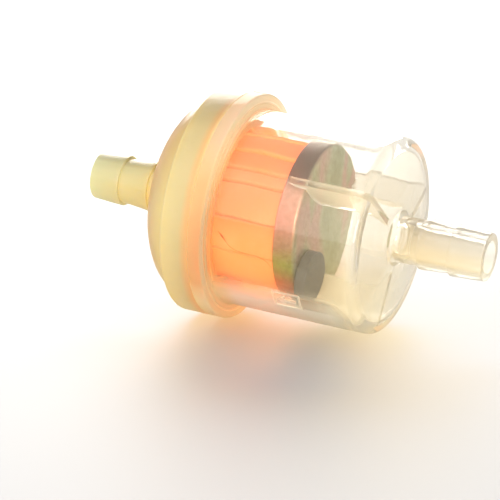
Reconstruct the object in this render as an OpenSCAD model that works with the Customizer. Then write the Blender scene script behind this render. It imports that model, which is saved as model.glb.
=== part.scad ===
// Inline fuel filter for small engines.
// The flow axis lies along X. +X points out of the inlet spigot, +Z is up.
// The origin is at the centre of the bounding box, on the flow axis.
// Stations along the axis are measured from the bowl flange's front face.

/* [Bowl] */
// Outer diameter of the clear bowl
bowl_d = 27; // [26.4:0.2:28]
// Wall thickness of the bowl
bowl_wall = 1.3; // [1:0.1:1.4]
// Length of the bowl from its flange to the rounded end
bowl_l = 21.4; // [21:0.2:24]
// Radius of the bowl's outer end corner
corner_r = 1.6; // [1.2:0.1:1.8]
// Rise of the slightly domed end wall
end_rise = 0.9; // [0.6:0.1:1.4]
// Outer diameter of the flange and of the cap's skirt
flange_d = 31.2; // [30.4:0.2:33]
// Thickness of the bowl's flange
flange_t = 1.9; // [1.6:0.1:2.2]

/* [Ribs] */
// Thickness of each locating rib
rib_t = 0.9; // [0.7:0.1:1]
// Radius of the ribs' inner edge in front of the end plate
rib_in_r = 6.9; // [6.8:0.1:7.6]
// Angle of the first rib from straight up
rib_angle = 52; // [50:0.5:54]

/* [Cap] */
// Thickness of the cap's skirt
skirt_t = 4; // [3.6:0.1:4.4]
// Axial height of the dome
dome_h = 6.5; // [6.2:0.1:6.8]
// Radius of the dome where it meets the skirt
dome_r = 14; // [13.8:0.1:14.6]

/* [Spigots] */
// Diameter over the hose barbs
barb_d = 7; // [6.8:0.1:8]
// Depth of each barb's step
barb_step = 0.35; // [0.2:0.05:0.45]
// Length of the cylindrical land on each barb
land_l = 0.5; // [0.3:0.1:0.8]
// Diameter of the fuel passages
bore_d = 4.3; // [3.6:0.1:4.4]

/* [Filter element] */
// Outer radius of the paper's folds
paper_out_r = 10.3; // [9.8:0.1:10.3]
// Inner radius of the paper's folds
paper_in_r = 6; // [5.8:0.1:6.6]
// Radial depth of the paper's section
paper_sec = 1.1; // [1:0.1:1.2]
// Outer radius of the steel end plate
plate_r = 10.8; // [10.7:0.05:10.85]
// Sheet thickness of the end plate
plate_t = 0.35; // [0.3:0.05:0.4]
// Length of the end plate's rim
plate_rim = 3.1; // [2.6:0.1:3.4]

/* [Magnet] */
// Magnet diameter
magnet_d = 7; // [6:0.1:7]
// Magnet thickness
magnet_t = 1.5; // [1.2:0.1:3]
// Height of the magnet's stored place below the axis
magnet_drop = 6; // [5.9:0.05:6.1]
// Distance of the magnet's stored place to the side of the axis
magnet_side = 6; // [5.9:0.05:6.1]

/* [Hidden] */
$fn = 96;

bowl_r = bowl_d / 2;
bowl_in_r = bowl_r - bowl_wall;
flange_r = flange_d / 2;
barb_r = barb_d / 2;
bore_r = bore_d / 2;
neck_in = barb_r - barb_step;
neck_out = barb_r - 0.4;
skirt_s = -flange_t - skirt_t;
dome_s = skirt_s - dome_h;
plug_r = bowl_in_r - 0.05;
plug_in_r = plug_r - 1.05;
in_tip = 35.1 + bowl_l - 21.4;
out_tip = -22.85 - (dome_h - 6.5) - (skirt_t - 4) - (flange_t - 1.9);
mid_s = (in_tip + out_tip) / 2;
face_s = 11.7;
ledge_s = -5.4;
ring_t = 1;
ring_in_r = 5;
pot_top_s = -3;
pot_low_s = 9.9;
paper_end = face_s - plate_t - 0.5;
pleat_at = [2, 28, 45, 56, 83, 110, 140, 168, 195, 222, 250, 277, 305, 334];
n_pleat = len(pleat_at);

function arc(cx, cy, r, a0, a1, n) =
    [for (i = [0 : n]) let (a = a0 + (a1 - a0) * i / n) [cx + r * cos(a), cy + r * sin(a)]];
function bow(rr, ss, h, a0, a1, n) =
    [for (i = [0 : n]) let (a = a0 + (a1 - a0) * i / n) [rr * cos(a), ss - h * sin(a)]];
function on(r, a) = [r * cos(a + 180), r * sin(a + 180)];
function after(i) = pleat_at[(i + 1) % n_pleat] + (i + 1 >= n_pleat ? 360 : 0);
function valley(i) = (pleat_at[i] + after(i)) / 2;

// Puts a shape drawn about Z, with its stations along Z, onto the flow axis
module axial() { rotate([0, 90, 0]) translate([0, 0, -mid_s]) children(); }

// A radial fin whose outline is drawn in radius and station
module fin(a, t, pts) {
    rotate([0, 0, a + 180]) rotate([90, 0, 0])
        linear_extrude(height = t, center = true) polygon(pts);
}

// Closed zigzag section of the pleated paper, grown by g on both sides
module pleats(g = 0) {
    difference() {
        polygon([for (i = [0 : n_pleat - 1]) for (k = [0, 1])
            k == 0 ? on(paper_out_r + g, pleat_at[i]) : on(paper_in_r + paper_sec + g, valley(i))]);
        polygon([for (i = [0 : n_pleat - 1]) for (k = [0, 1])
            k == 0 ? on(paper_out_r - paper_sec - g, pleat_at[i]) : on(paper_in_r - g, valley(i))]);
    }
}

module outlet_cap() {
    color([0.90, 0.83, 0.58, 0.95]) axial() difference() {
        rotate_extrude() polygon(concat(
            [[0, out_tip], [3.05, out_tip], [3.25, out_tip + 0.2],
             [barb_r, out_tip + 4.4 - land_l], [barb_r, out_tip + 4.4], [neck_out, out_tip + 4.4],
             [barb_r, out_tip + 8.8 - land_l], [barb_r, out_tip + 8.8], [neck_out, out_tip + 8.8]],
            bow(dome_r, skirt_s, dome_h, acos(neck_out / dome_r), 0, 18),
            [[flange_r - 0.25, skirt_s], [flange_r, skirt_s + 0.25], [flange_r, -flange_t],
             [plug_r, -flange_t], [plug_r, 0], [0, 0]]));
        // clean side chamber, with the ledge that seats the element's ring
        rotate_extrude() polygon(concat(
            [[0, 1], [plug_in_r, 1], [plug_in_r, ledge_s]],
            bow(plug_in_r - 1.3, ledge_s, dome_h - 1.1, 0, acos(bore_r / (plug_in_r - 1.3)), 14),
            [[0, ledge_s - dome_h + 1.1]]));
        translate([0, 0, out_tip - 1]) cylinder(r = bore_r, h = -out_tip);
    }
}

module inlet_bowl() {
    color([0.93, 0.92, 0.82, 0.35]) axial() union() {
        difference() {
            rotate_extrude() polygon(concat(
                [[0, -flange_t], [flange_r, -flange_t], [flange_r, -0.2], [flange_r - 0.2, 0],
                 [bowl_r + 0.3, 0], [bowl_r, 0.3]],
                arc(bowl_r - corner_r, bowl_l - corner_r, corner_r, 0, 80, 8),
                [[4.3, bowl_l + end_rise], [3.5, bowl_l + end_rise + 0.5], [neck_in, bowl_l + end_rise + 1],
                 [neck_in, in_tip - 9.2], [barb_r, in_tip - 9.2], [barb_r, in_tip - 9.2 + land_l],
                 [neck_in, in_tip - 4.8], [barb_r, in_tip - 4.8], [barb_r, in_tip - 4.8 + land_l],
                 [3.3, in_tip - 0.15], [3.15, in_tip], [0, in_tip]]));
            rotate_extrude() polygon(concat(
                [[0, -flange_t - 1], [bowl_in_r, -flange_t - 1]],
                arc(bowl_in_r - 1, bowl_l - bowl_wall - 0.9, 1, 0, 84, 6),
                [[3.1, bowl_l - bowl_wall + end_rise - 0.1], [bore_r, bowl_l - bowl_wall + end_rise + 0.6],
                 [0, bowl_l - bowl_wall + end_rise + 0.6]]));
            translate([0, 0, bowl_l - bowl_wall]) cylinder(r = bore_r, h = in_tip);
        }
        // locating ribs: a tapered lead beside the end plate, a stop, then a tall web
        for (k = [0 : 2]) fin(rib_angle + 120 * k, rib_t,
            [[bowl_in_r + 0.4, 9.1], [bowl_in_r, 9.4], [plate_r + 0.2, face_s - 1.2], [plate_r + 0.2, face_s],
             [9, face_s + 0.02], [rib_in_r, face_s + 0.8], [rib_in_r, 19.4], [4.6, bowl_l - bowl_wall + 0.4],
             [4.6, bowl_l + 0.2], [bowl_in_r - 1, bowl_l - 0.5], [bowl_in_r + 0.4, bowl_l - 2]]);
    }
}

module filter_paper() {
    color([0.98, 0.62, 0.38]) axial()
        translate([0, 0, ledge_s + ring_t + 0.2]) linear_extrude(height = paper_end - (ledge_s + ring_t + 0.2))
            pleats();
}

module paper_seam_glue() {
    color([0.80, 0.55, 0.25]) axial()
        rotate([0, 0, 277 + 180]) translate([paper_out_r - 2.05, 0, pot_top_s])
            cylinder(r = 0.3, h = pot_low_s - pot_top_s);
}

module steel_end_plate() {
    color([0.74, 0.66, 0.48]) axial() rotate_extrude() polygon(concat(
        [[0, face_s], [0, face_s - plate_t], [plate_r - 0.7, face_s - plate_t]],
        [[plate_r - plate_t, face_s - 0.7], [plate_r - plate_t, face_s - plate_rim], [plate_r, face_s - plate_rim]],
        arc(plate_r - 0.6, face_s - 0.6, 0.6, 0, 90, 5)));
}

module closed_end_adhesive() {
    color([0.85, 0.70, 0.45]) axial() difference() {
        rotate_extrude() polygon([[0, pot_low_s], [plate_r - plate_t, pot_low_s], [plate_r - plate_t, face_s - 0.7],
            [plate_r - 0.7, face_s - plate_t], [0, face_s - plate_t]]);
        translate([0, 0, pot_low_s - 1]) linear_extrude(height = paper_end - pot_low_s + 1) pleats();
    }
}

module open_end_ring() {
    color([0.90, 0.86, 0.70]) axial() rotate_extrude() polygon([
        [ring_in_r, ledge_s], [plug_in_r - 0.05, ledge_s], [plug_in_r - 0.05, pot_top_s + 0.4],
        [plug_in_r - 0.35, pot_top_s + 0.4], [plug_in_r - 0.35, ledge_s + ring_t], [ring_in_r, ledge_s + ring_t]]);
}

module open_end_adhesive() {
    color([0.85, 0.70, 0.45]) axial() difference() {
        rotate_extrude() polygon([[ring_in_r, ledge_s + ring_t], [plug_in_r - 0.35, ledge_s + ring_t],
            [plug_in_r - 0.35, pot_top_s], [ring_in_r, pot_top_s]]);
        translate([0, 0, ledge_s + ring_t + 0.2]) linear_extrude(height = 4) pleats();
    }
}

module magnet() {
    color([0.30, 0.29, 0.27]) axial()
        translate([magnet_drop, -magnet_side, face_s + 0.03]) rotate_extrude() polygon([
            [0, 0], [magnet_d / 2 - 0.15, 0], [magnet_d / 2, 0.15], [magnet_d / 2, magnet_t - 0.15],
            [magnet_d / 2 - 0.15, magnet_t], [0, magnet_t]]);
}

outlet_cap();
inlet_bowl();
filter_paper();
paper_seam_glue();
steel_end_plate();
closed_end_adhesive();
open_end_ring();
open_end_adhesive();
magnet();
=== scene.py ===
import math
import random

import bpy
import bmesh
from mathutils import Matrix, Vector, noise


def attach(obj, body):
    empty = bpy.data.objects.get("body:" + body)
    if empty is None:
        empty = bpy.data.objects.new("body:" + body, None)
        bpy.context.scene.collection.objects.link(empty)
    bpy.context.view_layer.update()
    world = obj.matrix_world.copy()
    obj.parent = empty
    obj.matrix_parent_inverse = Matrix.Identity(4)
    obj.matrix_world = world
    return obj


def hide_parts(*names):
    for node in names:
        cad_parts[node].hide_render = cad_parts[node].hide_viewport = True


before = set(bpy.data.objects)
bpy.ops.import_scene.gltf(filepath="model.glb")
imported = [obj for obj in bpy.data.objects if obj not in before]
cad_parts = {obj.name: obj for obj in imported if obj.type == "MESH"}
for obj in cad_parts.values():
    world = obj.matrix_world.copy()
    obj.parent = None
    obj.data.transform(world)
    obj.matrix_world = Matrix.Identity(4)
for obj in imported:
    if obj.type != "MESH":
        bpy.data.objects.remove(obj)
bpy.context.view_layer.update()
random.seed(7)

MID = 6.125          # station of the origin, in mm
TAU = math.radians(5.964)   # tilt of the filter as it lies
UP = Vector((-math.sin(TAU), 0, math.cos(TAU)))


def at(s, r, a):
    """Point at station s, radius r (mm), angle a (degrees from up towards -Y), in metres."""
    t = math.radians(a)
    return Vector(((s - MID) / 1000, -r * math.sin(t) / 1000, r * math.cos(t) / 1000))


# ---------------------------------------------------------------- meshes
def fillets(pts, closed=True, steps=5):
    """Rounds the corners of a 2D polyline. Each point is (x, y) or (x, y, radius)."""
    out, n = [], len(pts)
    for i, p in enumerate(pts):
        rad = p[2] if len(p) > 2 else 0
        if rad <= 0 or (not closed and i in (0, n - 1)):
            out.append((p[0], p[1]))
            continue
        P = Vector(p[:2])
        A, B = Vector(pts[i - 1][:2]) - P, Vector(pts[(i + 1) % n][:2]) - P
        la, lb = A.length, B.length
        A.normalize(), B.normalize()
        ang = math.acos(max(-1, min(1, A.dot(B))))
        if ang > math.radians(178) or ang < math.radians(2):
            out.append((p[0], p[1]))
            continue
        d = min(rad / math.tan(ang / 2), la * 0.48, lb * 0.48)
        rr = d * math.tan(ang / 2)
        C = P + (A + B).normalized() * (rr / math.sin(ang / 2))
        S, E = P + A * d - C, P + B * d - C
        turn = math.atan2(S.x * E.y - S.y * E.x, S.dot(E))
        for k in range(steps + 1):
            t = turn * k / steps
            out.append((C.x + S.x * math.cos(t) - S.y * math.sin(t), C.y + S.x * math.sin(t) + S.y * math.cos(t)))
    return out


def obj_from(name, verts, faces, body="housing", sharp=32):
    me = bpy.data.meshes.new(name)
    me.from_pydata(verts, [], faces)
    ob = bpy.data.objects.new(name, me)
    bpy.context.scene.collection.objects.link(ob)
    tidy(ob, sharp)
    return ob


def tidy(ob, sharp=32):
    me = ob.data
    bm = bmesh.new()
    bm.from_mesh(me)
    bmesh.ops.remove_doubles(bm, verts=bm.verts, dist=2e-7)
    bmesh.ops.recalc_face_normals(bm, faces=bm.faces)
    for f in bm.faces:
        f.smooth = True
    for e in bm.edges:
        e.smooth = not (len(e.link_faces) == 2 and e.calc_face_angle(0) > math.radians(sharp))
    bm.to_mesh(me)
    bm.free()
    me.update()


def lathe(name, prof, seg=240, wob=None, sharp=32):
    """Revolves a closed profile of (station, radius) in mm about the flow axis."""
    verts, faces, n = [], [], len(prof)
    axis = [i for i, (s, r) in enumerate(prof) if r < 1e-6]
    for k in range(seg):
        a = 360 * k / seg
        for s, r in prof:
            if wob:
                s, r = wob(s, r, a)
            verts.append(at(s, r, a))
    for k in range(seg):
        k2 = (k + 1) % seg
        for i in range(n):
            j = (i + 1) % n
            if i in axis and j in axis:
                continue
            q = [k * n + i, k * n + j, k2 * n + j, k2 * n + i]
            if j in axis:
                q = [k * n + i, axis_vert(j), k2 * n + i]
            elif i in axis:
                q = [axis_vert(i), k * n + j, k2 * n + j]
            faces.append(q)
    return obj_from(name, verts, faces, sharp=sharp)


def axis_vert(i):
    return i


def prism(name, outline, t, a, bevel=0.12):
    """A radial fin: outline of (station, radius), thickness t (mm) at angle a, with eased edges."""
    o = fillets(outline, steps=3)
    c = Vector((sum(p[0] for p in o) / len(o), sum(p[1] for p in o) / len(o)))
    rings = []
    for off, shrink in ((-t / 2, bevel), (-t / 2 + bevel, 0), (t / 2 - bevel, 0), (t / 2, bevel)):
        ring = []
        m = len(o)
        for i, p in enumerate(o):
            P = Vector(p)
            A, B = (P - Vector(o[i - 1])), (Vector(o[(i + 1) % m]) - P)
            nrm = Vector((A.y + B.y, -A.x - B.x))
            if nrm.length > 1e-9:
                nrm.normalize()
            ring.append((P.x + inward * nrm.x * shrink, P.y + inward * nrm.y * shrink, off) if (inward := 1 if area(o) < 0 else -1) else None)
        rings.append(ring)
    verts, faces, m = [], [], len(o)
    th = math.radians(a)
    for ring in rings:
        for s, r, off in ring:
            base = at(s, r, a)
            side = Vector((0, -math.cos(th), -math.sin(th))) * (off / 1000)
            verts.append(base + side)
    for k in range(3):
        for i in range(m):
            j = (i + 1) % m
            faces.append([k * m + i, k * m + j, (k + 1) * m + j, (k + 1) * m + i])
    faces.append(list(range(m)))
    faces.append(list(range(3 * m, 4 * m)))
    return obj_from(name, verts, faces)


def area(o):
    return sum(o[i - 1][0] * o[i][1] - o[i][0] * o[i - 1][1] for i in range(len(o))) / 2


def wrap_plate(name, outer, lo, hi, centre_a, holes=None):
    """A flat outline of (station, across) in mm, wrapped on the bowl's outside between radii lo and hi."""
    bm = bmesh.new()
    rings = []
    for r in (lo, hi):
        rings.append([bm.verts.new(at(s, r, centre_a + math.degrees(v / 13.5))) for s, v in outer])
    m = len(outer)
    for i in range(m):
        j = (i + 1) % m
        bm.faces.new([rings[0][i], rings[0][j], rings[1][j], rings[1][i]])
    bm.faces.new(rings[0])
    bm.faces.new(rings[1])
    me = bpy.data.meshes.new(name)
    bmesh.ops.triangulate(bm, faces=[f for f in bm.faces if len(f.verts) > 4])
    bm.to_mesh(me)
    bm.free()
    ob = bpy.data.objects.new(name, me)
    bpy.context.scene.collection.objects.link(ob)
    tidy(ob)
    return ob


def join_solids(base, tools, sharp=32):
    for t in tools:
        m = base.modifiers.new("add", "BOOLEAN")
        m.operation, m.solver, m.object = "UNION", "EXACT", t
        bpy.context.view_layer.update()
        dg = bpy.context.evaluated_depsgraph_get()
        me = bpy.data.meshes.new_from_object(base.evaluated_get(dg))
        base.modifiers.clear()
        base.data = me
        bpy.data.objects.remove(t)
    tidy(base, sharp)


def tube(name, pts, rad, seg=10, blob=None):
    """A closed round strand through points, with its radius from rad(t)."""
    P = [Vector(p) for p in pts]
    fine = []
    for i in range(len(P) - 1):
        p0, p1, p2, p3 = P[max(i - 1, 0)], P[i], P[i + 1], P[min(i + 2, len(P) - 1)]
        for k in range(8):
            t = k / 8
            fine.append(0.5 * ((2 * p1) + (p2 - p0) * t + (2 * p0 - 5 * p1 + 4 * p2 - p3) * t * t + (3 * p1 - p0 - 3 * p2 + p3) * t ** 3))
    fine.append(P[-1])
    verts, faces, m = [], [], len(fine)
    for i, c in enumerate(fine):
        d = (fine[min(i + 1, m - 1)] - fine[max(i - 1, 0)]).normalized()
        x = d.orthogonal().normalized() if i == 0 else (x - d * x.dot(d)).normalized()
        y = d.cross(x)
        r = rad(i / (m - 1)) / 1000
        for k in range(seg):
            t = 2 * math.pi * k / seg
            verts.append(c + (x * math.cos(t) + y * math.sin(t)) * r)
    for i in range(m - 1):
        for k in range(seg):
            j = (k + 1) % seg
            faces.append([i * seg + k, i * seg + j, (i + 1) * seg + j, (i + 1) * seg + k])
    faces.append(list(range(seg)))
    faces.append(list(range((m - 1) * seg, m * seg)))
    return obj_from(name, verts, faces)


# ---------------------------------------------------------------- materials
def lin(r, g, b):
    def c(v):
        v /= 255
        return v / 12.92 if v <= 0.04045 else ((v + 0.055) / 1.055) ** 2.4
    return (c(r), c(g), c(b), 1)


class Mat:
    def __init__(self, name):
        self.m = bpy.data.materials.new(name)
        self.m.use_nodes = True
        self.t = self.m.node_tree
        self.t.nodes.clear()
        self.out = self.n("ShaderNodeOutputMaterial")
        self.p = self.n("ShaderNodeBsdfPrincipled")
        self.l(self.p.outputs[0], self.out.inputs["Surface"])
        self.geo = self.n("ShaderNodeTexCoord")

    def n(self, kind, **kw):
        x = self.t.nodes.new(kind)
        for k, v in kw.items():
            setattr(x, k, v)
        return x

    def l(self, a, b):
        self.t.links.new(a, b)

    def set(self, **kw):
        for k, v in kw.items():
            self.p.inputs[k.replace("_", " ")].default_value = v
        return self

    def noise(self, scale, detail=3, rough=0.5, stretch=None, dist=0.0):
        x = self.n("ShaderNodeTexNoise")
        x.inputs["Scale"].default_value = scale
        x.inputs["Detail"].default_value = detail
        x.inputs["Roughness"].default_value = rough
        x.inputs["Distortion"].default_value = dist
        src = self.geo.outputs["Object"]
        if stretch:
            mp = self.n("ShaderNodeMapping")
            mp.inputs["Scale"].default_value = stretch
            self.l(src, mp.inputs["Vector"])
            src = mp.outputs[0]
        self.l(src, x.inputs["Vector"])
        return x.outputs["Fac"]

    def ramp(self, fac, stops, interp="LINEAR"):
        x = self.n("ShaderNodeValToRGB")
        x.color_ramp.interpolation = interp
        e = x.color_ramp.elements
        while len(e) < len(stops):
            e.new(0.5)
        for k, (pos, col) in zip(e, stops):
            k.position, k.color = pos, col
        self.l(fac, x.inputs[0])
        return x.outputs[0]

    def math(self, op, a, b=None, c=None):
        x = self.n("ShaderNodeMath", operation=op)
        for i, v in enumerate((a, b, c)):
            if v is None:
                continue
            if isinstance(v, (int, float)):
                x.inputs[i].default_value = v
            else:
                self.l(v, x.inputs[i])
        return x.outputs[0]

    def mix(self, fac, a, b, blend="MIX"):
        x = self.n("ShaderNodeMix", data_type="RGBA", blend_type=blend)
        for s, v in ((x.inputs[0], fac), (x.inputs[6], a), (x.inputs[7], b)):
            if isinstance(v, (int, float, tuple)):
                s.default_value = v
            else:
                self.l(v, s)
        return x.outputs[2]

    def bump(self, h, strength, dist):
        x = self.n("ShaderNodeBump")
        x.inputs["Strength"].default_value = strength
        x.inputs["Distance"].default_value = dist
        self.l(h, x.inputs["Height"])
        return x.outputs[0]

    def see_through(self, shader, tint, share, soft):
        """Lets a share of the lamps' light through, tinted, so the shadow is warm like that of the real plastic."""
        lp = self.n("ShaderNodeLightPath")
        tr = self.n("ShaderNodeBsdfTransparent")
        tr.inputs[0].default_value = tint
        mx = self.n("ShaderNodeMixShader")
        self.l(self.math("MAXIMUM", self.math("MULTIPLY", lp.outputs["Is Shadow Ray"], share),
                         self.math("MULTIPLY", lp.outputs["Is Diffuse Ray"], soft)), mx.inputs[0])
        self.l(shader, mx.inputs[1])
        self.l(tr.outputs[0], mx.inputs[2])
        self.l(mx.outputs[0], self.out.inputs["Surface"])

    def station(self, lo, hi):
        """0 to 1 along the flow axis between two stations in mm."""
        sp = self.n("ShaderNodeSeparateXYZ")
        self.l(self.geo.outputs["Object"], sp.inputs[0])
        self.xyz = sp.outputs
        mr = self.n("ShaderNodeMapRange")
        self.l(sp.outputs[0], mr.inputs["Value"])
        mr.inputs["From Min"].default_value = (lo - MID) / 1000
        mr.inputs["From Max"].default_value = (hi - MID) / 1000
        return mr.outputs[0]

    def angle(self):
        """0 to 1 round the axis, from straight up, over the near side, to straight down at 0.5."""
        sp = self.n("ShaderNodeSeparateXYZ")
        self.l(self.geo.outputs["Object"], sp.inputs[0])
        t = self.math("ARCTAN2", self.math("MULTIPLY", sp.outputs[1], -1.0), sp.outputs[2])
        return self.math("FRACT", self.math("ADD", self.math("DIVIDE", t, 2 * math.pi), 1.0))


def clear_plastic():
    k = Mat("clear_bowl_plastic")
    k.set(Roughness=0.045, IOR=1.46, Transmission_Weight=1.0, Specular_IOR_Level=0.5)
    var = k.noise(140, 3)
    col = k.ramp(var, [(0.25, (0.965, 0.958, 0.93, 1)), (0.75, (0.985, 0.98, 0.962, 1))])
    near_cap = k.station(-2.2, 3.0)
    amber = k.mix(k.ramp(near_cap, [(0.0, (1, 1, 1, 1)), (0.72, (0.55, 0.55, 0.55, 1)), (1.0, (0, 0, 0, 1))]),
                  col, (0.995, 0.96, 0.87, 1))
    dot = k.n("ShaderNodeVectorMath", operation="DISTANCE")
    k.l(k.geo.outputs["Object"], dot.inputs[0])
    dot.inputs[1].default_value = at(25.3, 3.3, 56.4)
    amber = k.mix(k.math("LESS_THAN", dot.outputs["Value"], 0.00022), amber, (0.10, 0.09, 0.07, 1))
    k.l(amber, k.p.inputs["Base Color"])
    h = k.math("ADD", k.noise(260, 2), k.math("MULTIPLY", k.noise(1500, 2), 0.15))
    k.l(k.bump(h, 0.05, 0.0005), k.p.inputs["Normal"])
    # lamps and soft light pass the clear wall without being bent
    lp = k.n("ShaderNodeLightPath")
    tr = k.n("ShaderNodeBsdfTransparent")
    tr.inputs[0].default_value = (0.985, 0.93, 0.81, 1)
    haze = k.n("ShaderNodeBsdfTranslucent")
    k.l(k.mix(k.ramp(near_cap, [(0.0, (1, 1, 1, 1)), (0.72, (0.6, 0.6, 0.6, 1)), (1.0, (0, 0, 0, 1))]),
              k.ramp(k.station(19.0, 24.0), [(0, (0.99, 0.965, 0.89, 1)), (0.35, (0.82, 0.80, 0.75, 1)), (1, (0.52, 0.515, 0.49, 1))]), (0.84, 0.89, 0.78, 1)), haze.inputs[0])
    skin = k.n("ShaderNodeBsdfDiffuse")
    # painted shade: with this mask of the top, the flange's top gets a brown diffuse skin instead of amber, and more of
    # that skin
    painted_top_mask = k.ramp(k.angle(), [(0.0, (1, 1, 1, 1)), (0.12, (1, 1, 1, 1)), (0.22, (0, 0, 0, 1)), (0.80, (0, 0, 0, 1)), (0.90, (1, 1, 1, 1))])
    k.l(k.mix(k.ramp(near_cap, [(0.0, (1, 1, 1, 1)), (0.72, (0.6, 0.6, 0.6, 1)), (1.0, (0.15, 0.15, 0.15, 1))]),
              (0.90, 0.92, 0.84, 1), k.mix(painted_top_mask, (0.95, 0.78, 0.40, 1), (0.60, 0.53, 0.37, 1))), skin.inputs[0])
    hz = k.n("ShaderNodeMixShader")
    wall = k.ramp(k.station(-2.0, 36.0), [(0.0, (0.80, 0.80, 0.80, 1)), (0.050, (0.78, 0.78, 0.78, 1)), (0.056, (0.42, 0.42, 0.42, 1)), (0.066, (0.12, 0.12, 0.12, 1)),
                                        (0.54, (0.09, 0.09, 0.09, 1)), (0.60, (0.22, 0.22, 0.22, 1)), (0.68, (0.28, 0.28, 0.28, 1)), (0.72, (0.42, 0.42, 0.42, 1))])
    r = k.math("SQRT", k.math("ADD", k.math("POWER", k.xyz[1], 2.0), k.math("POWER", k.xyz[2], 2.0)))
    rib = k.math("MULTIPLY", k.math("MINIMUM", k.math("MULTIPLY", k.math("SUBTRACT", 0.0121, r), 5000.0), 1.0), k.ramp(k.station(18.0, 20.5), [(0, (0.26, 0.26, 0.26, 1)), (1, (0.1, 0.1, 0.1, 1))]))
    # painted light: mask of the underside; the barrel's underside gets more haze and more pale cream diffuse skin, a
    # painted glow for the back light focused through the lower wall
    painted_glow_under = k.ramp(k.angle(), [(0.32, (0, 0, 0, 1)), (0.38, (0.56, 0.56, 0.56, 1)), (0.62, (0.56, 0.56, 0.56, 1)), (0.72, (0, 0, 0, 1))])
    mark = k.math("MULTIPLY", k.math("MINIMUM", k.math("MAXIMUM", k.math("MULTIPLY", k.math("SUBTRACT", r, 0.01354), 20000.0), 0.0), 0.6),
                  k.ramp(k.station(7.0, 16.0), [(0.10, (0, 0, 0, 1)), (0.2, (1, 1, 1, 1)), (0.72, (1, 1, 1, 1)), (0.85, (0, 0, 0, 1))]))
    wall = k.math("MAXIMUM", wall, mark)
    share = k.math("MINIMUM", k.math("MAXIMUM", k.math("MAXIMUM", wall, rib), k.math("MULTIPLY", painted_glow_under, k.ramp(k.station(17.0, 20.0), [(0, (1, 1, 1, 1)), (1, (0.3, 0.3, 0.3, 1))]))), 0.80)
    hd = k.n("ShaderNodeMixShader")
    k.l(k.math("MAXIMUM", k.math("MAXIMUM", k.math("MAXIMUM", k.math("MULTIPLY", painted_glow_under, 1.7), mark), k.math("MULTIPLY", k.math("MAXIMUM", painted_top_mask, 0.35), k.ramp(k.station(-0.1, 0.6), [(0, (0.6, 0.6, 0.6, 1)), (1, (0, 0, 0, 1))]))),
               k.ramp(k.station(18.0, 24.0), [(0, (0, 0, 0, 1)), (0.45, (0.45, 0.45, 0.45, 1)), (0.65, (0.45, 0.45, 0.45, 1)), (0.9, (0.10, 0.10, 0.10, 1))])), hd.inputs[0])
    k.l(haze.outputs[0], hd.inputs[1])
    k.l(skin.outputs[0], hd.inputs[2])
    k.l(share, hz.inputs[0])
    k.l(k.p.outputs[0], hz.inputs[1])
    k.l(hd.outputs[0], hz.inputs[2])
    mx = k.n("ShaderNodeMixShader")
    k.l(k.math("MAXIMUM", lp.outputs["Is Shadow Ray"], lp.outputs["Is Diffuse Ray"]), mx.inputs[0])
    k.l(hz.outputs[0], mx.inputs[1])
    k.l(tr.outputs[0], mx.inputs[2])
    k.l(mx.outputs[0], k.out.inputs["Surface"])
    va = k.n("ShaderNodeVolumeAbsorption")
    va.inputs["Color"].default_value = (0.95, 0.915, 0.81, 1)
    va.inputs["Density"].default_value = 72
    k.l(va.outputs[0], k.out.inputs["Volume"])
    return k.m


def milky_plastic():
    k = Mat("milky_cap_plastic")
    k.set(Roughness=0.34, IOR=1.46, Specular_IOR_Level=0.5, Subsurface_Weight=0.65, Subsurface_Scale=0.004)
    k.p.inputs["Subsurface Radius"].default_value = (1.0, 0.75, 0.35)
    col = k.ramp(k.station(-23, 0), [
        (0.00, lin(210, 215, 180)), (0.38, lin(215, 213, 168)), (0.46, lin(236, 214, 166)),
        (0.56, lin(238, 210, 160)), (0.70, lin(230, 220, 168)), (0.745, lin(227, 222, 176)), (0.86, lin(227, 220, 172)),
        (0.905, lin(246, 208, 150)), (1.0, lin(248, 200, 138))])
    cloud = k.ramp(k.noise(180, 4, 0.6), [(0.3, (0.735, 0.75, 0.735, 1)), (0.7, (0.775, 0.785, 0.78, 1))])
    col = k.mix(1.0, col, cloud, "MULTIPLY")
    # painted shade: the top of the dome is tinted a darker, warmer peach than its sides
    painted_top_mask = k.ramp(k.angle(), [(0.0, (1, 1, 1, 1)), (0.10, (0.85, 0.85, 0.85, 1)), (0.24, (0, 0, 0, 1)), (0.80, (0, 0, 0, 1)), (1.0, (1, 1, 1, 1))])
    warm = k.ramp(k.station(-13.5, -5.0), [(0.0, (1, 1, 1, 1)), (0.2, (0.90, 0.71, 0.58, 1)), (0.85, (0.90, 0.74, 0.62, 1)), (1.0, (0.93, 0.89, 0.84, 1))])
    col = k.mix(painted_top_mask, col, k.mix(1.0, col, warm, "MULTIPLY"))
    # painted light: on the top, the skirt next to the flange turns pale yellow while its sides stay orange
    col = k.mix(k.math("MULTIPLY", painted_top_mask, k.ramp(k.station(-2.6, -1.9), [(0.3, (0, 0, 0, 1)), (1.0, (1, 1, 1, 1))])), col, lin(226, 214, 164))
    # painted shade: darker along the top of the whole cap
    col = k.mix(1.0, col, k.ramp(k.angle(), [(0.0, (0.52, 0.48, 0.42, 1)), (0.05, (0.66, 0.63, 0.58, 1)), (0.11, (1, 1, 1, 1)), (0.90, (1, 1, 1, 1)), (0.96, (0.66, 0.63, 0.58, 1)), (1.0, (0.52, 0.48, 0.42, 1))]), "MULTIPLY")
    k.l(col, k.p.inputs["Base Color"])
    tl = k.n("ShaderNodeBsdfTranslucent")
    k.l(col, tl.inputs[0])
    mx = k.n("ShaderNodeMixShader")
    mx.inputs[0].default_value = 0.35
    k.l(k.p.outputs[0], mx.inputs[1])
    k.l(tl.outputs[0], mx.inputs[2])
    k.see_through(mx.outputs[0], (1.0, 0.885, 0.68, 1), 0.95, 0.95)
    h = k.math("ADD", k.noise(900, 3), k.math("MULTIPLY", k.noise(5000, 2), 0.3))
    k.l(k.bump(h, 0.12, 0.0004), k.p.inputs["Normal"])
    return k.m


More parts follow.
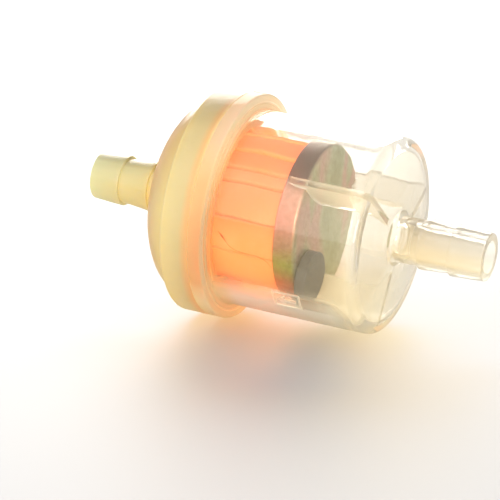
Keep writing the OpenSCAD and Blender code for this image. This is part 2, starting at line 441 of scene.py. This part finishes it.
def paper():
    k = Mat("pleated_filter_paper")
    k.set(Roughness=0.85, Specular_IOR_Level=0.2, Subsurface_Weight=0.3, Subsurface_Scale=0.001)
    k.p.inputs["Subsurface Radius"].default_value = (1.0, 0.5, 0.25)
    base = k.ramp(k.noise(170, 3, 0.5), [(0.3, lin(255, 214, 166)), (0.55, lin(255, 220, 177)), (0.75, lin(255, 226, 190))])
    fibre = k.ramp(k.noise(2600, 4, 0.65, stretch=(0.25, 1, 1)), [(0.3, (0.97, 0.955, 0.93, 1)), (0.65, (1, 1, 1, 1))])
    col = k.mix(1.0, base, fibre, "MULTIPLY")
    # painted light: the top facets are tinted deeper orange, for the back light shining through the paper there
    painted_top_tint = k.ramp(k.angle(), [(0.0, (0.97, 0.85, 0.86, 1)), (0.10, (0.97, 0.85, 0.86, 1)), (0.155, (1, 1, 1, 1)), (0.85, (1, 1, 1, 1)), (0.92, (0.97, 0.85, 0.86, 1))])
    col = k.mix(1.0, col, painted_top_tint, "MULTIPLY")
    k.l(col, k.p.inputs["Base Color"])
    tl = k.n("ShaderNodeBsdfTranslucent")
    k.l(col, tl.inputs[0])
    mx = k.n("ShaderNodeMixShader")
    mx.inputs[0].default_value = 0.65
    k.l(k.p.outputs[0], mx.inputs[1])
    k.l(tl.outputs[0], mx.inputs[2])
    k.see_through(mx.outputs[0], (1.0, 0.83, 0.62, 1), 0.95, 0.35)
    h = k.math("ADD", k.noise(3200, 4, 0.7), k.math("MULTIPLY", k.noise(500, 2, stretch=(0.2, 1, 1)), 0.8))
    k.l(k.bump(h, 0.35, 0.00012), k.p.inputs["Normal"])
    return k.m


def zinc():
    k = Mat("yellow_zinc_steel")
    k.set(Metallic=1.0, Roughness=0.33)
    swirl = k.noise(160, 3, 0.55, dist=0.6)
    a = k.math("ADD", k.angle(), k.math("MULTIPLY", k.math("SUBTRACT", swirl, 0.5), 0.06))
    # partly the yellow zinc's own rainbow tones, partly painted reflection: laid out by angle from the top, darkest
    # along the top
    band_tint_and_reflection = k.ramp(a, [
        (0.00, lin(72, 62, 54)), (0.07, lin(78, 60, 60)), (0.135, lin(96, 74, 72)), (0.16, lin(205, 160, 142)),
        (0.22, lin(218, 156, 136)), (0.265, lin(204, 164, 124)), (0.305, lin(188, 204, 94)), (0.345, lin(212, 166, 122)),
        (0.40, lin(210, 160, 120)), (0.52, lin(150, 136, 98)), (0.64, lin(188, 152, 130)), (0.78, lin(146, 140, 98)),
        (0.90, lin(160, 120, 110)), (1.0, lin(112, 96, 84))])
    face = k.ramp(k.noise(120, 2, 0.4, stretch=(1, 1, 0.35), dist=0.4), [
        (0.34, lin(172, 178, 144)), (0.44, lin(188, 192, 162)), (0.51, lin(204, 178, 162)), (0.57, lin(208, 174, 164)), (0.64, lin(187, 191, 160))])
    onface = k.ramp(k.station(11.2, 11.66), [(0.2, (0, 0, 0, 1)), (1.0, (1, 1, 1, 1))])
    col = k.mix(onface, band_tint_and_reflection, face)
    grime = k.ramp(k.noise(1400, 4, 0.6), [(0.34, (0.80, 0.78, 0.74, 1)), (0.6, (1, 1, 1, 1))])
    k.l(k.mix(1.0, col, grime, "MULTIPLY"), k.p.inputs["Base Color"])
    k.l(k.math("MULTIPLY_ADD", k.noise(900, 3), 0.18, 0.38), k.p.inputs["Roughness"])
    k.l(k.bump(k.noise(2200, 4, 0.6), 0.25, 0.00008), k.p.inputs["Normal"])
    return k.m


def ferrite():
    k = Mat("ferrite_magnet")
    k.set(Roughness=0.5, Specular_IOR_Level=0.6)
    col = k.ramp(k.noise(1800, 5, 0.7), [(0.3, lin(73, 78, 78)), (0.6, lin(99, 103, 103)), (0.8, lin(128, 130, 128))])
    k.l(col, k.p.inputs["Base Color"])
    k.l(k.math("MULTIPLY_ADD", k.noise(2500, 3), 0.3, 0.35), k.p.inputs["Roughness"])
    k.l(k.bump(k.noise(3000, 5, 0.7), 0.5, 0.00012), k.p.inputs["Normal"])
    return k.m


def glue(name, c1, c2, rough=0.3):
    k = Mat(name)
    k.set(Roughness=rough, Subsurface_Weight=0.4, Subsurface_Scale=0.0015)
    k.p.inputs["Subsurface Radius"].default_value = (1.0, 0.6, 0.25)
    k.l(k.ramp(k.noise(700, 4, 0.6), [(0.3, c1), (0.7, c2)]), k.p.inputs["Base Color"])
    k.l(k.bump(k.noise(900, 3), 0.3, 0.0003), k.p.inputs["Normal"])
    return k.m


M_CLEAR, M_MILK, M_PAPER, M_ZINC, M_MAG = clear_plastic(), milky_plastic(), paper(), zinc(), ferrite()
M_GLUE = glue("potting_adhesive", lin(206, 150, 84), lin(226, 176, 110))
M_SEAM = glue("seam_adhesive", lin(168, 112, 52), lin(196, 140, 76))
M_RING = glue("ring_plastic", lin(226, 206, 150), lin(236, 218, 170), 0.45)
M_STRAND = glue("dark_strand", lin(140, 88, 48), lin(172, 108, 60), 0.5)


def dress(ob, mat, body="housing", node=None):
    ob.data.materials.clear()
    ob.data.materials.append(mat)
    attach(ob, body)
    if node:
        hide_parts(*([node] if isinstance(node, str) else node))
    return ob


# ---------------------------------------------------------------- bowl
TIP, OUT = 35.1, -22.85
bowl_profile = fillets([
    (-1.9, 12.2), (-1.9, 15.6, 0.08), (0, 15.6, 0.28), (0, 14.62, 0.05), (-0.12, 14.56, 0.04), (-0.12, 14.30, 0.04), (0, 14.24, 0.05), (0, 13.5, 0.3),
    (6, 13.5), (12, 13.5), (19.0, 13.5), (21.4, 13.5, 1.9), (22.15, 6.5, 0.0), (22.35, 3.15, 0.9), (24.5, 3.15),
    (25.9, 3.15, 0.08), (25.9, 3.5, 0.09), (26.4, 3.5, 0.2), (30.3, 3.15, 0.08), (30.3, 3.5, 0.09), (30.8, 3.5, 0.2),
    (34.8, 3.28), (35.1, 3.25, 0.16), (35.1, 2.15, 0.14), (28, 2.15), (21.7, 2.15, 0.5), (20.95, 3.6, 0.4),
    (20.3, 12.2, 1.3), (18.5, 12.2), (12, 12.2), (6, 12.2), (0, 12.2)], steps=7)
bowl = lathe("bowl_shell", bowl_profile)
RIB = [(9.1, 12.55), (9.4, 12.2), (10.5, 11.0, 0.2), (11.7, 11.0, 0.1), (11.72, 9.0, 0.3), (12.5, 6.9, 0.35), (19.4, 6.9, 0.4),
       (20.5, 4.6), (21.4, 4.6), (20.9, 11.2), (19.4, 12.7)]
tools = [prism(f"rib{i}", RIB, 0.9, 52 + 120 * i) for i in range(3)]
# generic raised flow arrow in a plain frame, where the bowl carries its moulded mark
AC, S0, S1, HV = 129.0, 9.2, 13.2, 1.55


def bar(name, s0, s1, v0, v1, nv=1, ns=1, hi=13.68):
    o = [(s0 + (s1 - s0) * i / ns, v0) for i in range(ns)] + [(s1, v0 + (v1 - v0) * i / nv) for i in range(nv)]
    o += [(s1 - (s1 - s0) * i / ns, v1) for i in range(ns)] + [(s0, v1 - (v1 - v0) * i / nv) for i in range(nv)]
    return wrap_plate(name, o, 13.38, hi, AC)


tools += [wrap_plate("arrow", [(S0 + 0.75, 0), (S0 + 1.75, -0.85), (S0 + 1.75, -0.28), (S1 - 0.7, -0.28),
                               (S1 - 0.7, 0.28), (S1 - 0.0 - 0.7, 0.28), (S0 + 1.75, 0.28), (S0 + 1.75, 0.85)][:5]
                     + [(S0 + 1.75, 0.28), (S0 + 1.75, 0.85)], 13.38, 13.68, AC)]
fr = 0.26
tools += [bar("f1", S0, S1, -HV, -HV + fr), bar("f2", S0, S1, HV - fr, HV),
          bar("f3", S0, S0 + fr, -HV + fr - 0.01, HV - fr + 0.01, nv=6), bar("f4", S1 - fr, S1, -HV + fr - 0.01, HV - fr + 0.01, nv=6)]
join_solids(bowl, tools)
dress(bowl, M_CLEAR, node="inlet_bowl")

# ---------------------------------------------------------------- cap
dome = [(-5.95 - 6.5 * math.sin(t), 14 * math.cos(t)) for t in [math.acos(3.15 / 14) * (1 - i / 40) for i in range(1, 41)]]
dome_in = [(-5.4 - 5.4 * math.sin(t), 9.8 * math.cos(t)) for t in [math.acos(2.25 / 9.8) * i / 30 for i in range(1, 31)]]
cap_profile = fillets([
    (OUT, 2.15, 0.14), (OUT, 3.25, 0.18), (OUT + 3.9, 3.5, 0.2), (OUT + 4.4, 3.5, 0.07), (OUT + 4.4, 3.1, 0.08), (OUT + 6, 3.22),
    (OUT + 8.3, 3.5, 0.2), (OUT + 8.8, 3.5, 0.07), (OUT + 8.8, 3.1, 0.08), (-12.33, 3.12, 0.3)] + dome[:-1] + [
    (-6.0, 14.0, 0.14), (-6.0, 15.6, 0.3), (-4.0, 15.6), (-1.9, 15.6, 0.08), (-1.9, 12.15, 0.05), (0, 12.15, 0.12), (0, 11.1, 0.2),
    (-5.4, 11.1, 0.1), (-5.4, 9.8, 0.2)] + dome_in + [(-14, 2.15)], steps=6)
cap = lathe("cap_shell", cap_profile)
ring_pts = [at(-5.0 + 0.62 * math.cos(math.radians(q)), 15.585, -12 + math.degrees(0.95 * math.sin(math.radians(q)) / 15.6)) for q in range(200, 345, 12)]
mark = tube("gate_mark", ring_pts, lambda t: 0.07)
join_solids(cap, [mark])
dress(cap, M_MILK, node="outlet_cap")

# ---------------------------------------------------------------- paper
FOLDS = [2, 28, 45, 56, 83, 110, 140, 168, 195, 222, 250, 277, 305, 334]


def pol(r, a):
    t = math.radians(a)
    return (r * math.sin(t), r * math.cos(t))


line = []
for i, a in enumerate(FOLDS):
    b = FOLDS[(i + 1) % len(FOLDS)] + (360 if i + 1 == len(FOLDS) else 0)
    w = b - a
    line += [(*pol(10.2, a), 0.22), (*pol(6.3, a + 1.5), 0.3), (*pol(9.9, a + 2.6), 0.12)]
    # each facet is nearly a flat chord that ends in the next fold
    A, B = Vector(pol(9.9, a + 2.6)), Vector(pol(10.2, b))
    for k in (1, 2, 3):
        P = A.lerp(B, k / 4)
        line.append(tuple(P * (1 + 0.45 * (math.hypot(*pol(10.05, 0)) / P.length - 1))))
mid = fillets(line, steps=4)
n = len(mid)
TH = 0.2


def offs(sign):
    out = []
    for i in range(n):
        A, B = Vector(mid[i]) - Vector(mid[i - 1]), Vector(mid[(i + 1) % n]) - Vector(mid[i])
        A.normalize(), B.normalize()
        d = A + B
        d = Vector((d.y, -d.x)).normalized() if d.length > 1e-6 else Vector((A.y, -A.x))
        out.append(Vector(mid[i]) + d * (sign * TH / 2))
    return out


rim = offs(1) + offs(-1)
NS = 36
P0, P1 = -3.9, 10.8
verts, faces = [], []
for q in range(NS + 1):
    s = P0 + (P1 - P0) * q / NS
    u = (s - P0) / (P1 - P0)
    for i, p in enumerate(rim):
        r = p.length
        a = math.atan2(p.x, p.y)
        bulge = 0.16 * math.sin(math.pi * max(0, min(1, (s - 0.0) / 8.6))) if s > 0 else 0
        wave = 0.13 * noise.noise(Vector((s * 0.5, a * 2.2, 3.1))) + 0.05 * noise.noise(Vector((s * 1.7, a * 7, 9.3)))
        k = max(0.0, (r - 7) / 3.4)
        r2 = r + k * (bulge + wave)
        a2 = a + 0.02 * k * noise.noise(Vector((s * 0.35, a * 1.5, 5.5)))
        r2 = min(r2, 10.4 if s > 8.4 else 10.62)
        verts.append(Vector(((s - MID) / 1000, -r2 * math.sin(a2) / 1000, r2 * math.cos(a2) / 1000)))
m2 = 2 * n
for q in range(NS):
    for base in (0, n):
        for i in range(n):
            j = (i + 1) % n
            faces.append([q * m2 + base + i, q * m2 + base + j, (q + 1) * m2 + base + j, (q + 1) * m2 + base + i])
for q in (0, NS):
    for i in range(n):
        j = (i + 1) % n
        faces.append([q * m2 + i, q * m2 + j, q * m2 + n + j, q * m2 + n + i])
pp = obj_from("paper_pleats", verts, faces, sharp=60)
dress(pp, M_PAPER, node="filter_paper")

# ---------------------------------------------------------------- end plate, potting, ring
plate = lathe("end_plate_cup", fillets([
    (11.35, 0), (11.7, 0), (11.7, 4), (11.7, 8.2), (11.7, 10.8, 0.6), (9.4, 10.8), (8.6, 10.82, 0.12), (8.6, 10.45, 0.1), (11.35, 10.45, 0.25), (11.35, 4)], steps=6),
    wob=lambda s, r, a: (s + 0.03 * math.sin(math.radians(2 * a + 40)) * (r / 10.8) ** 3 * (1 if s < 11 else 0), r))
dress(plate, M_ZINC, node="steel_end_plate")
pot = lathe("closed_end_potting", fillets([(9.95, 0), (11.34, 0), (11.34, 10.15, 0.1), (10.9, 10.43, 0.1), (9.75, 10.43, 0.1), (9.95, 9.6)], steps=3), seg=160)
dress(pot, M_GLUE, node="closed_end_adhesive")
ring = lathe("open_ring", fillets([
    (-5.4, 5.0, 0.15), (-5.4, 11.05, 0.15), (-2.6, 11.05, 0.1), (-2.6, 10.75, 0.1), (-4.4, 10.75, 0.15), (-4.4, 5.0, 0.15)], steps=3), seg=160)
dress(ring, M_RING, node="open_end_ring")
pot2 = lathe("open_end_potting", fillets([(-4.39, 5.05, 0.1), (-4.39, 10.74, 0.1), (-2.85, 10.74, 0.1), (-3.05, 10.0), (-3.05, 5.8), (-3.2, 5.05, 0.1)], steps=3), seg=160)
dress(pot2, M_GLUE, node="open_end_adhesive")


seam = tube("seam_bead", [at(-3.0 + 12.9 * i / 9, 9.55 + 0.05 * math.sin(i * 2.1), 264 + 0.9 * math.sin(i * 1.3)) for i in range(10)],
            lambda t: 0.26 + 0.05 * math.sin(t * 31))
dress(seam, M_SEAM, node="paper_seam_glue")
strand = tube("glue_strand", [at(0.4, 10.52, 95.5), at(1.1, 10.56, 98.8), at(2.2, 10.58, 105.2), at(3.4, 10.58, 107.8), at(5.0, 10.6, 108.2),
                              at(6.4, 10.6, 108.8), at(7.6, 10.6, 111.3), at(8.3, 10.6, 116.5)],
              lambda t: 0.034 + 0.10 * math.exp(-((t - 0.14) / 0.05) ** 2) - 0.014 * t)
dress(strand, M_STRAND)

# ---------------------------------------------------------------- magnet
def mag_wob(s, r, a):
    c = noise.noise(Vector((math.sin(math.radians(a)) * 3, math.cos(math.radians(a)) * 3, s * 0.8)))
    e = max(0.0, r - 3.2) / 0.3
    return s, r - 0.05 * e * max(0.0, c)


mp = fillets([(11.73, 0), (13.23, 0), (13.23, 1.5), (13.23, 3.5, 0.16), (11.73, 3.5, 0.14), (11.73, 1.5)], steps=4)
disc = lathe("disc_magnet", mp, seg=140, wob=mag_wob)
for v in disc.data.vertices:
    v.co += Vector((0, -0.006, -0.006))
disc.data.update()
dress(disc, M_MAG, body="magnet_disc", node="magnet")

# ---------------------------------------------------------------- stage
low = min((v.co.dot(UP) for o in (cap, bowl) for v in o.data.vertices))
fm = Mat("pale_floor")
fm.set(Roughness=0.6, Specular_IOR_Level=0.25)
fm.p.inputs["Base Color"].default_value = (0.368, 0.371, 0.376, 1)
far = fm.n("ShaderNodeVectorMath", operation="LENGTH")
fm.l(fm.geo.outputs["Object"], far.inputs[0])
glow = fm.n("ShaderNodeEmission")
glow.inputs[0].default_value = (1, 1, 1, 1)
sweep = fm.n("ShaderNodeMixShader")
fm.l(fm.ramp(fm.math("MULTIPLY", far.outputs["Value"], 0.5), [(0.24, (0, 0, 0, 1)), (0.75, (1, 1, 1, 1))], "EASE"), sweep.inputs[0])
fm.l(fm.p.outputs[0], sweep.inputs[1])
fm.l(glow.outputs[0], sweep.inputs[2])
fm.l(sweep.outputs[0], fm.out.inputs["Surface"])
side = Vector((0, 1, 0))
along = side.cross(UP).normalized()
O = UP * (low - 0.00002)
bm = bmesh.new()
quad = [bm.verts.new(O + along * x * 1.6 + side * y * 1.6) for x, y in ((-1, -1), (1, -1), (1, 1), (-1, 1))]
bm.faces.new(quad)
me = bpy.data.meshes.new("floor")
bm.to_mesh(me)
bm.free()
me.materials.append(fm.m)
floor = bpy.data.objects.new("floor", me)
bpy.context.scene.collection.objects.link(floor)

scene = bpy.context.scene
scene.view_settings.view_transform = "Standard"
scene.view_settings.look = "None"
scene.cycles.max_bounces = 32
scene.cycles.transmission_bounces = 32
scene.cycles.transparent_max_bounces = 32
scene.cycles.diffuse_bounces = 8
w = bpy.data.worlds.new("studio")
scene.world = w
w.use_nodes = True
w.node_tree.nodes["Background"].inputs[0].default_value = (1, 1, 1, 1)
w.node_tree.nodes["Background"].inputs[1].default_value = 1.0


def lamp(name, pos, target, size, power, color=(1, 1, 1)):
    d = bpy.data.lights.new(name, "AREA")
    d.shape, d.size, d.energy, d.color = "DISK", size, power, color
    o = bpy.data.objects.new(name, d)
    scene.collection.objects.link(o)
    o.location = pos
    o.rotation_euler = (Vector(target) - Vector(pos)).to_track_quat("-Z", "Y").to_euler()
    return o


lamp("back_light", (-0.198, 0.347, 0.165), (0, 0, 0), 0.32, 2.9, (1, 0.96, 0.91))
lamp("front_fill", (-0.10, -0.85, 0.38), (0, 0, 0), 1.5, 4.35, (1, 0.985, 0.97))
lamp("low_fill", (0.20, -0.40, 0.10), (0.005, -0.005, -0.012), 0.2, 0.8, (1, 0.89, 0.77))

cam = bpy.data.cameras.new("camera")
cam.sensor_width = 36
cam.lens = 36 * 3024.3 / 500
cam.clip_start, cam.clip_end = 0.01, 10
co = bpy.data.objects.new("camera", cam)
scene.collection.objects.link(co)
R = Vector((0.90780601, 0.40852492, 0.09484538))
U = Vector((-0.19806761, 0.21828596, 0.95557337))
B = Vector((0.36967212, -0.88626104, 0.27907686))
co.matrix_world = Matrix(((R.x, U.x, B.x, 0.147936), (R.y, U.y, B.y, -0.367420), (R.z, U.z, B.z, 0.109629), (0, 0, 0, 1)))
scene.camera = co
